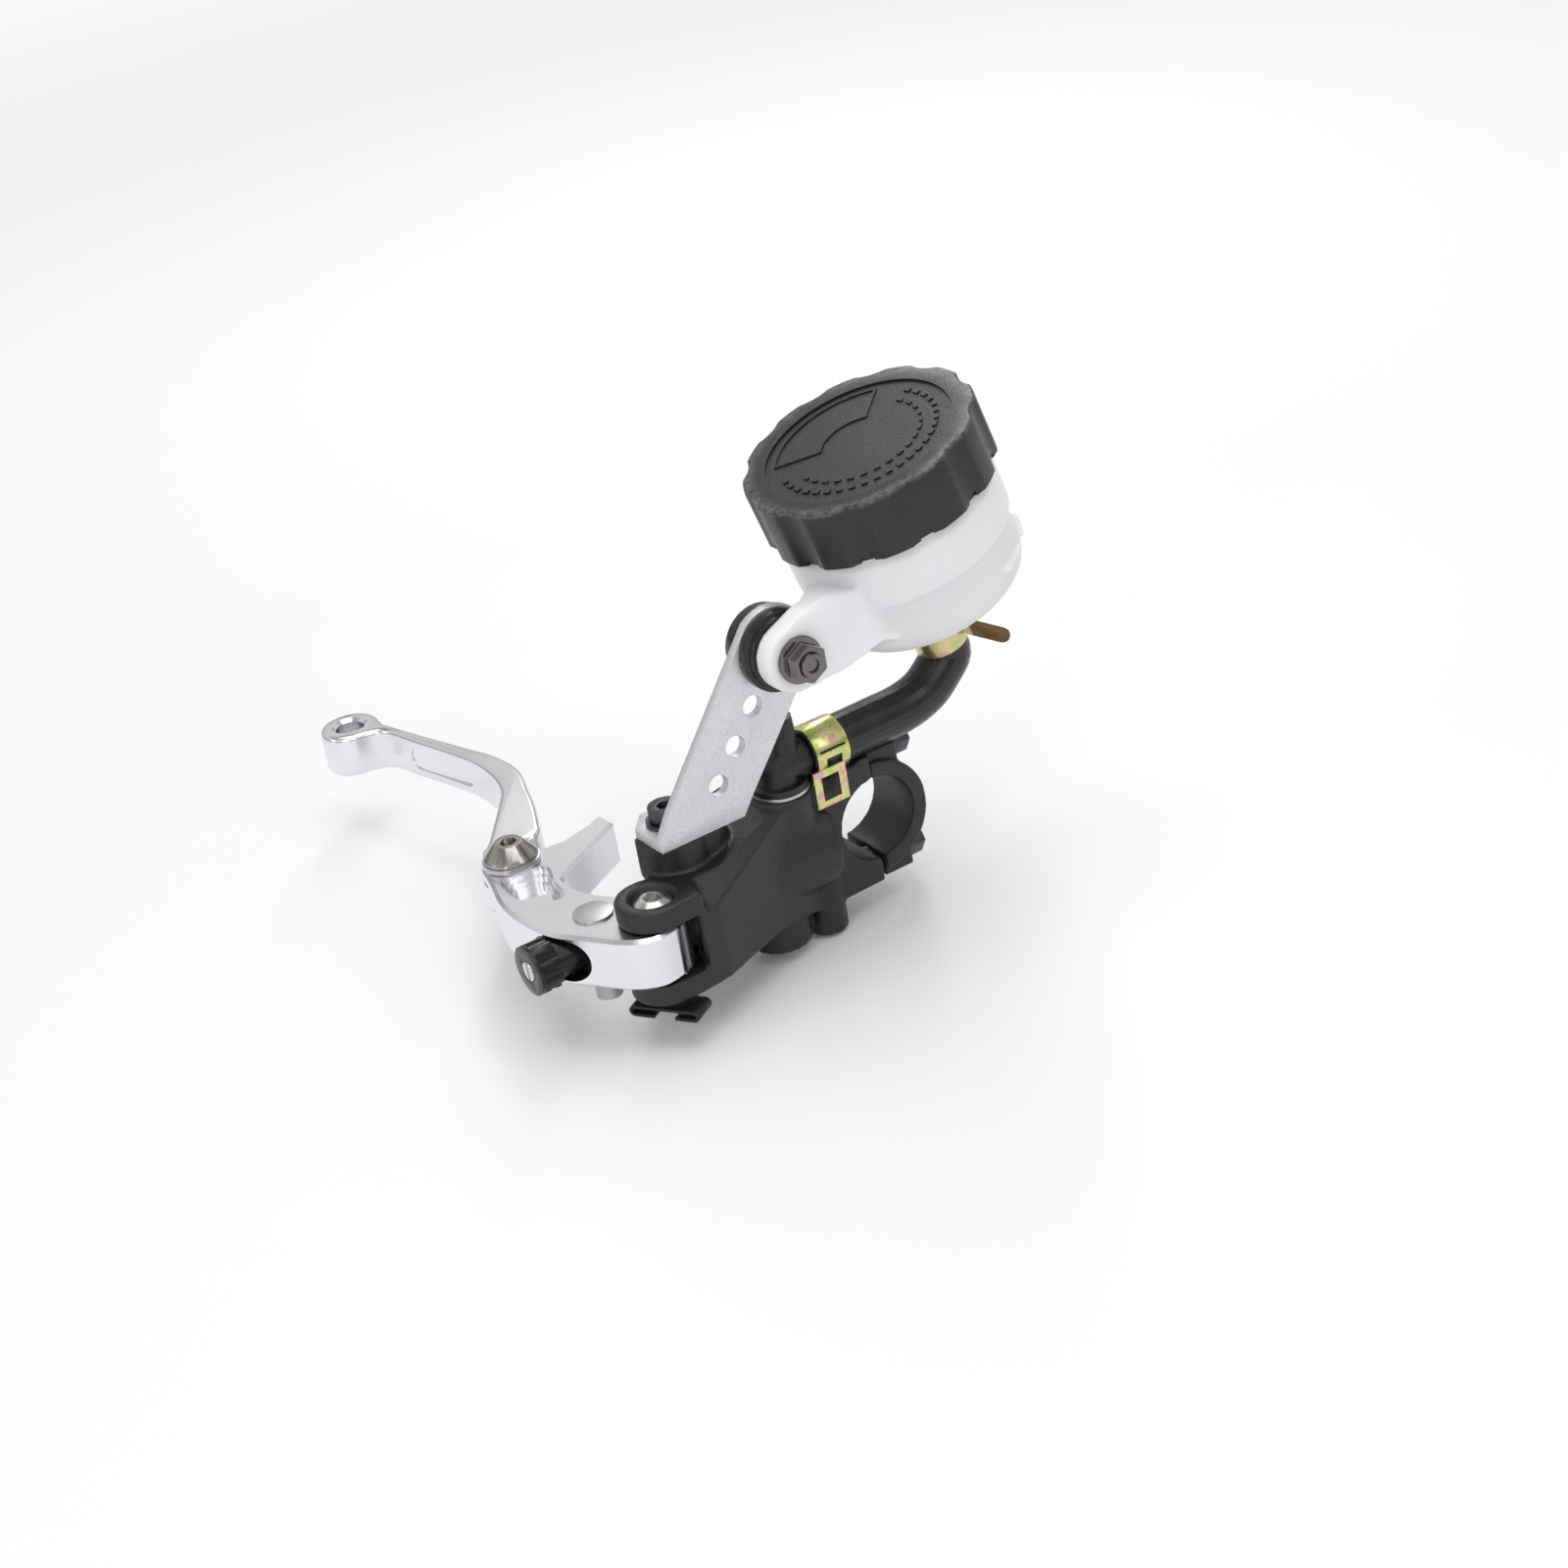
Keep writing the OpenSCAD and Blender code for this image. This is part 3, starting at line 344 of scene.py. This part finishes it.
def black_plastic(name="black_plastic", painted_rim_highlight=False):
    """Moulded black plastic with a spark-eroded grain. The cap's copy has a painted highlight, paler in
    patches along the screw cap's top rim.
    """
    f = Finish(name)
    grain = f.noise(0.00045, 3, 0.65)
    scuff = f.band(f.noise(0.0035, 5, 0.7), 0.58, 0.72)
    colour = f.mix(scuff * 0.4, (0.009, 0.009, 0.0105), (0.035, 0.035, 0.038))
    # painted highlight: the top rim of the screw cap is made paler, in patches
    if painted_rim_highlight:
        x, y, z = f.parts(f.local((-TILT, 0, 0), BOTTLE.translation))
        radius = (x * x + y * y).math("SQRT")
        outer = f.band(radius, CAP_R - 4 * MM, CAP_R - 1.5 * MM)
        rim_highlight_mask = f.band(z, CAP_TOP - 1.3 * MM, CAP_TOP - 0.3 * MM) * outer
        colour = f.mix(rim_highlight_mask * f.band(f.noise(0.0016, 4, 0.7), 0.35, 0.6), colour, (0.11, 0.11, 0.118))
    f.set(base_color=colour, roughness=0.24 + grain * 0.12 + scuff * 0.14)
    f.bump(grain, 0.0002, 0.6)
    return f.material


def black_anodised():
    f = Finish("black_anodised")
    fine = f.noise(0.0004, 2)
    cloud = f.noise(0.005, 3)
    f.set(base_color=f.mix(cloud, (0.008, 0.008, 0.009), (0.016, 0.016, 0.018)), metallic=0.4,
          roughness=0.22 + fine * 0.1)
    f.bump(fine, 0.00003, 0.4)
    return f.material


def milky_plastic():
    """Milky translucent plastic of the bottle."""
    f = Finish("milky_plastic")
    cloud = f.noise(0.014, 3)
    fine = f.noise(0.0012, 2)
    f.set(base_color=f.mix(cloud, (0.77, 0.78, 0.8), (0.88, 0.885, 0.895)), roughness=0.26 + cloud * 0.12,
          subsurface_weight=0.5, subsurface_scale=0.008)
    f.shader.inputs["Subsurface Radius"].default_value = (1, 1, 1)
    f.bump(fine + cloud, 0.00005, 0.3)
    return f.material


def ivory_plastic():
    f = Finish("ivory_plastic")
    cloud = f.noise(0.008, 3)
    f.set(base_color=f.mix(cloud, (0.66, 0.63, 0.54), (0.76, 0.73, 0.64)), roughness=0.4 + cloud * 0.1)
    f.bump(f.noise(0.0006, 2), 0.00004, 0.4)
    return f.material


def pale_floor():
    """White studio floor. It glows a little far from the object, so that it stays white there."""
    f = Finish("pale_floor")
    cloud = f.noise(0.4, 2)
    x, y, _ = f.parts(f.place)
    far = f.band((x * x + y * y).math("SQRT"), 0.3, 1.5)
    f.set(base_color=f.mix(cloud, (0.9, 0.904, 0.916), (0.915, 0.918, 0.926)), roughness=0.6 + cloud * 0.1,
          emission_color=f.mix(far, (0, 0, 0), (1, 1, 1.02)), emission_strength=0.42)
    return f.material


# ---------- making pieces ----------

def deselect():
    if bpy.context.object and bpy.context.object.mode != "OBJECT":
        bpy.ops.object.mode_set(mode="OBJECT")
    bpy.ops.object.select_all(action="DESELECT")


def activate(piece):
    deselect()
    piece.select_set(True)
    bpy.context.view_layer.objects.active = piece


def apply(piece, kind, **settings):
    """Adds a modifier with these settings and applies it."""
    activate(piece)
    modifier = piece.modifiers.new(kind.lower(), kind)
    for key, value in settings.items():
        setattr(modifier, key, value)
    bpy.ops.object.modifier_apply(modifier=modifier.name)


def copy_of(node, name):
    """A welded copy of a CAD node's mesh, with its flat faces joined up."""
    source = frame["nodes"][node]
    piece = bpy.data.objects.new(name, source.data.copy())
    bpy.context.collection.objects.link(piece)
    piece.data.materials.clear()
    if piece.data.has_custom_normals:
        activate(piece)
        bpy.ops.mesh.customdata_custom_splitnormals_clear()
    activate(piece)
    bpy.ops.object.mode_set(mode="EDIT")
    bpy.ops.mesh.select_all(action="SELECT")
    bpy.ops.mesh.remove_doubles(threshold=WELD)
    bpy.ops.mesh.dissolve_limited(angle_limit=FLAT)
    bpy.ops.object.mode_set(mode="OBJECT")
    return piece


def finish_piece(piece, material, node, replaces=True, smooth=35):
    """Gives a piece its material, and the body of the CAD node it belongs to."""
    activate(piece)
    piece.data.materials.clear()
    piece.data.materials.append(material)
    bpy.ops.object.shade_smooth_by_angle(angle=math.radians(smooth))
    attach(piece, BODY[node])
    if replaces:
        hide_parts(node)
    return piece


def machined(node, material, edge):
    """A CAD part with all its edges broken by a small bevel."""
    piece = copy_of(node, node + "_detail")
    apply(piece, "BEVEL", width=edge, segments=2, limit_method="ANGLE",
          angle_limit=SHARP, use_clamp_overlap=True)
    return finish_piece(piece, material, node)


def chamfered(node, material, edge, segments, chosen):
    """A CAD part with a bevel on its sharp edges whose two ends are both chosen."""
    piece = copy_of(node, node + "_detail")
    mesh = piece.data
    activate(piece)
    bpy.ops.object.mode_set(mode="EDIT")
    bpy.ops.mesh.select_mode(type="EDGE")
    bpy.ops.mesh.select_all(action="DESELECT")
    bpy.ops.mesh.edges_select_sharp(sharpness=SHARP)
    bpy.ops.object.mode_set(mode="OBJECT")
    weight = mesh.attributes.new("bevel_weight_edge", "FLOAT", "EDGE")
    for edge_of_mesh in mesh.edges:
        ends = [mesh.vertices[v].co for v in edge_of_mesh.vertices]
        if edge_of_mesh.select and all(chosen(end) for end in ends):
            weight.data[edge_of_mesh.index].value = 1
    apply(piece, "BEVEL", width=edge, segments=segments, limit_method="WEIGHT", use_clamp_overlap=False)
    return finish_piece(piece, material, node)


def squashed(node, material):
    """A sealed inner part, copied with a mesh of its own. Nothing here shortens it as the piston moves in.
    """
    piece = finish_piece(copy_of(node, node + "_detail"), material, node)
    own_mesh(piece)


def cast(node, material, grid, rounds):
    """A moulded or cast part, remade on a fine grid and smoothed, which softens all its corners."""
    piece = copy_of(node, node + "_detail")
    apply(piece, "REMESH", mode="VOXEL", voxel_size=grid, adaptivity=0.0)
    apply(piece, "SMOOTH", factor=0.5, iterations=rounds)
    return finish_piece(piece, material, node, smooth=60)


def settle(piece, frame_matrix):
    """Moves a piece made at the origin to its frame, and leaves the object at the origin."""
    activate(piece)
    piece.matrix_world = frame_matrix
    bpy.ops.object.transform_apply(location=True, rotation=True, scale=True)


def raised_arc(name, radius, width, height, start, sweep, steps):
    """A low bar bent round the screw cap's axis, made by spinning its end face."""
    bpy.ops.mesh.primitive_plane_add(size=1, location=(radius, 0, 0), rotation=(math.radians(90), 0, 0))
    piece = bpy.context.object
    piece.name = name
    piece.scale = (width, height, 1)
    bpy.ops.object.transform_apply(location=True, rotation=True, scale=True)
    bpy.ops.object.mode_set(mode="EDIT")
    bpy.ops.mesh.select_all(action="SELECT")
    bpy.ops.mesh.spin(steps=steps, angle=-math.radians(sweep), center=(0, 0, 0), axis=(0, 0, 1))
    bpy.ops.mesh.select_all(action="SELECT")
    bpy.ops.mesh.normals_make_consistent(inside=False)
    bpy.ops.object.mode_set(mode="OBJECT")
    lift = Matrix.Translation((0, 0, CAP_FACE + height / 2 - MARK_ROOT))
    settle(piece, BOTTLE @ lift @ Matrix.Rotation(math.radians(start), 4, "Z"))
    return piece


# ---------- the object ----------

def on_base_rim(point):
    """On the lever base's outline, and not on its pocket or its bores."""
    x, y = (point.x - PIVOT.x) / MM, (point.y - PIVOT.y) / MM
    in_pocket = any(left < x < right and near < y < far for (left, right), (near, far) in POCKET)
    near_bore = any((point - bore).xy.length < BORE_RIM for bore in (PIVOT, TRUNNION, FOLD))
    return abs(abs(point.z) - BASE_TOP) < NEAR and not in_pocket and not near_bore


def on_blade_rim(point):
    return abs(abs(point.z) - BLADE_TOP) < NEAR and (point - TIP).xy.length > TIP_RIM


def on_cap_rim(point):
    local = BOTTLE.inverted() @ point
    return abs(local.z - CAP_TOP) < NEAR and local.xy.length > CAP_SUNK_R


def add_cap_marks(material):
    """Plain raised marks on the screw cap: a framed sector, and two rows of short bars."""
    # name, radius and width in mm, start and sweep in degrees, steps
    marks = [("sector_outer", 21.4, 0.5, -52, 104, 40), ("sector_inner", 9.6, 0.5, -50, 100, 28)]
    marks += [("sector_side", 15.5, 12, side, 2, 2) for side in (-52, 50)]
    marks += [("short_bar", 20.2, 1.3, 72 + 9 * i, 4.5, 3) for i in range(24)]
    marks += [("short_bar", 16.2, 0.9, 84 + 12 * i, 6, 3) for i in range(17)]
    for name, radius, width, start, sweep, steps in marks:
        piece = raised_arc(name, radius * MM, width * MM, MARK_HEIGHT, start, sweep, steps)
        finish_piece(piece, material, "reservoir_cap", replaces=False)


def build(slots):
    cast("body", slots["cast_black"], 0.5 * MM, 7)
    cast("clamp_cap", slots["cast_black"], 0.4 * MM, 6)
    cast("reservoir_bottle", slots["white_plastic"], 0.6 * MM, 10)
    # the screw cap's plastic, with a painted highlight along its top rim
    cap_with_painted_highlight = black_plastic("cap_with_painted_highlight", painted_rim_highlight=True)
    chamfered("reservoir_cap", cap_with_painted_highlight, 0.8 * MM, 3, on_cap_rim)
    add_cap_marks(cap_with_painted_highlight)
    chamfered("lever_base", slots["lever_aluminium"], 0.9 * MM, 1, on_base_rim)
    chamfered("lever_blade", slots["lever_aluminium"], 1.5 * MM, 3, on_blade_rim)
    squashed("return_spring", slots["steel"])
    squashed("dust_boot", slots["rubber"])
    machined("bracket", slots["plate_silver"], 0.25 * MM)
    machined("fold_screw", turned("turned_cone", (0.42, 0.4, 0.37), FOLD, 0.16), 0.2 * MM)
    machined("pivot_bolt", turned("turned_head", (0.66, 0.65, 0.62), PIVOT), 0.12 * MM)
    machined("trunnion", turned("turned_face", (0.6, 0.59, 0.6), TRUNNION, 0.34), 0.3 * MM)
    machined("hose_clamp_upper", yellow_zinc("browned_zinc", True), 0.08 * MM)
    # the width of each part's broken edges, in mm
    for node, edge in (("adjuster_knob", 0.3), ("adjuster_screw", 0.12), ("reservoir_nut", 0.3),
                       ("reservoir_bolt", 0.25), ("bracket_bolt", 0.3), ("clamp_bolt_upper", 0.3),
                       ("clamp_bolt_lower", 0.3), ("pivot_nut", 0.25), ("fold_nut", 0.2),
                       ("fold_washer", 0.2), ("hose_clamp_lower", 0.08), ("grommet", 0.3),
                       ("pivot_clip", 0.08), ("inlet_elbow", 0.3), ("inlet_circlip", 0.1)):
        machined(node, slots[SLOT[node]], edge * MM)


def main():
    add_camera()
    add_floor(pale_floor())
    add_lights()
    slots = {
        "cast_black": cast_black(), "lever_aluminium": milled_silver(),
        "black_anodised": black_anodised(), "plate_silver": blasted_silver(),
        "stainless": plain_metal("stainless", (0.72, 0.71, 0.69), 0.2),
        "steel": plain_metal("steel", (0.6, 0.6, 0.61), 0.28),
        "dark_steel": plain_metal("dark_steel", (0.1, 0.1, 0.11), 0.32),
        "dark_chrome": plain_metal("dark_chrome", (0.2, 0.185, 0.18), 0.13),
        "spring_black": plain_metal("spring_black", (0.03, 0.027, 0.025), 0.34, 0.6),
        "zinc_yellow": yellow_zinc("yellow_zinc", False),
        "bronze": plain_metal("bronze", (0.6, 0.44, 0.22), 0.28),
        "rubber": rubber(), "black_plastic": black_plastic(),
        "white_plastic": milky_plastic(), "ivory_plastic": ivory_plastic(),
    }
    for part in SLOT:
        node = frame["nodes"][part]
        node.data.materials.clear()
        node.data.materials.append(slots[SLOT[part]])
    build(slots)


main()
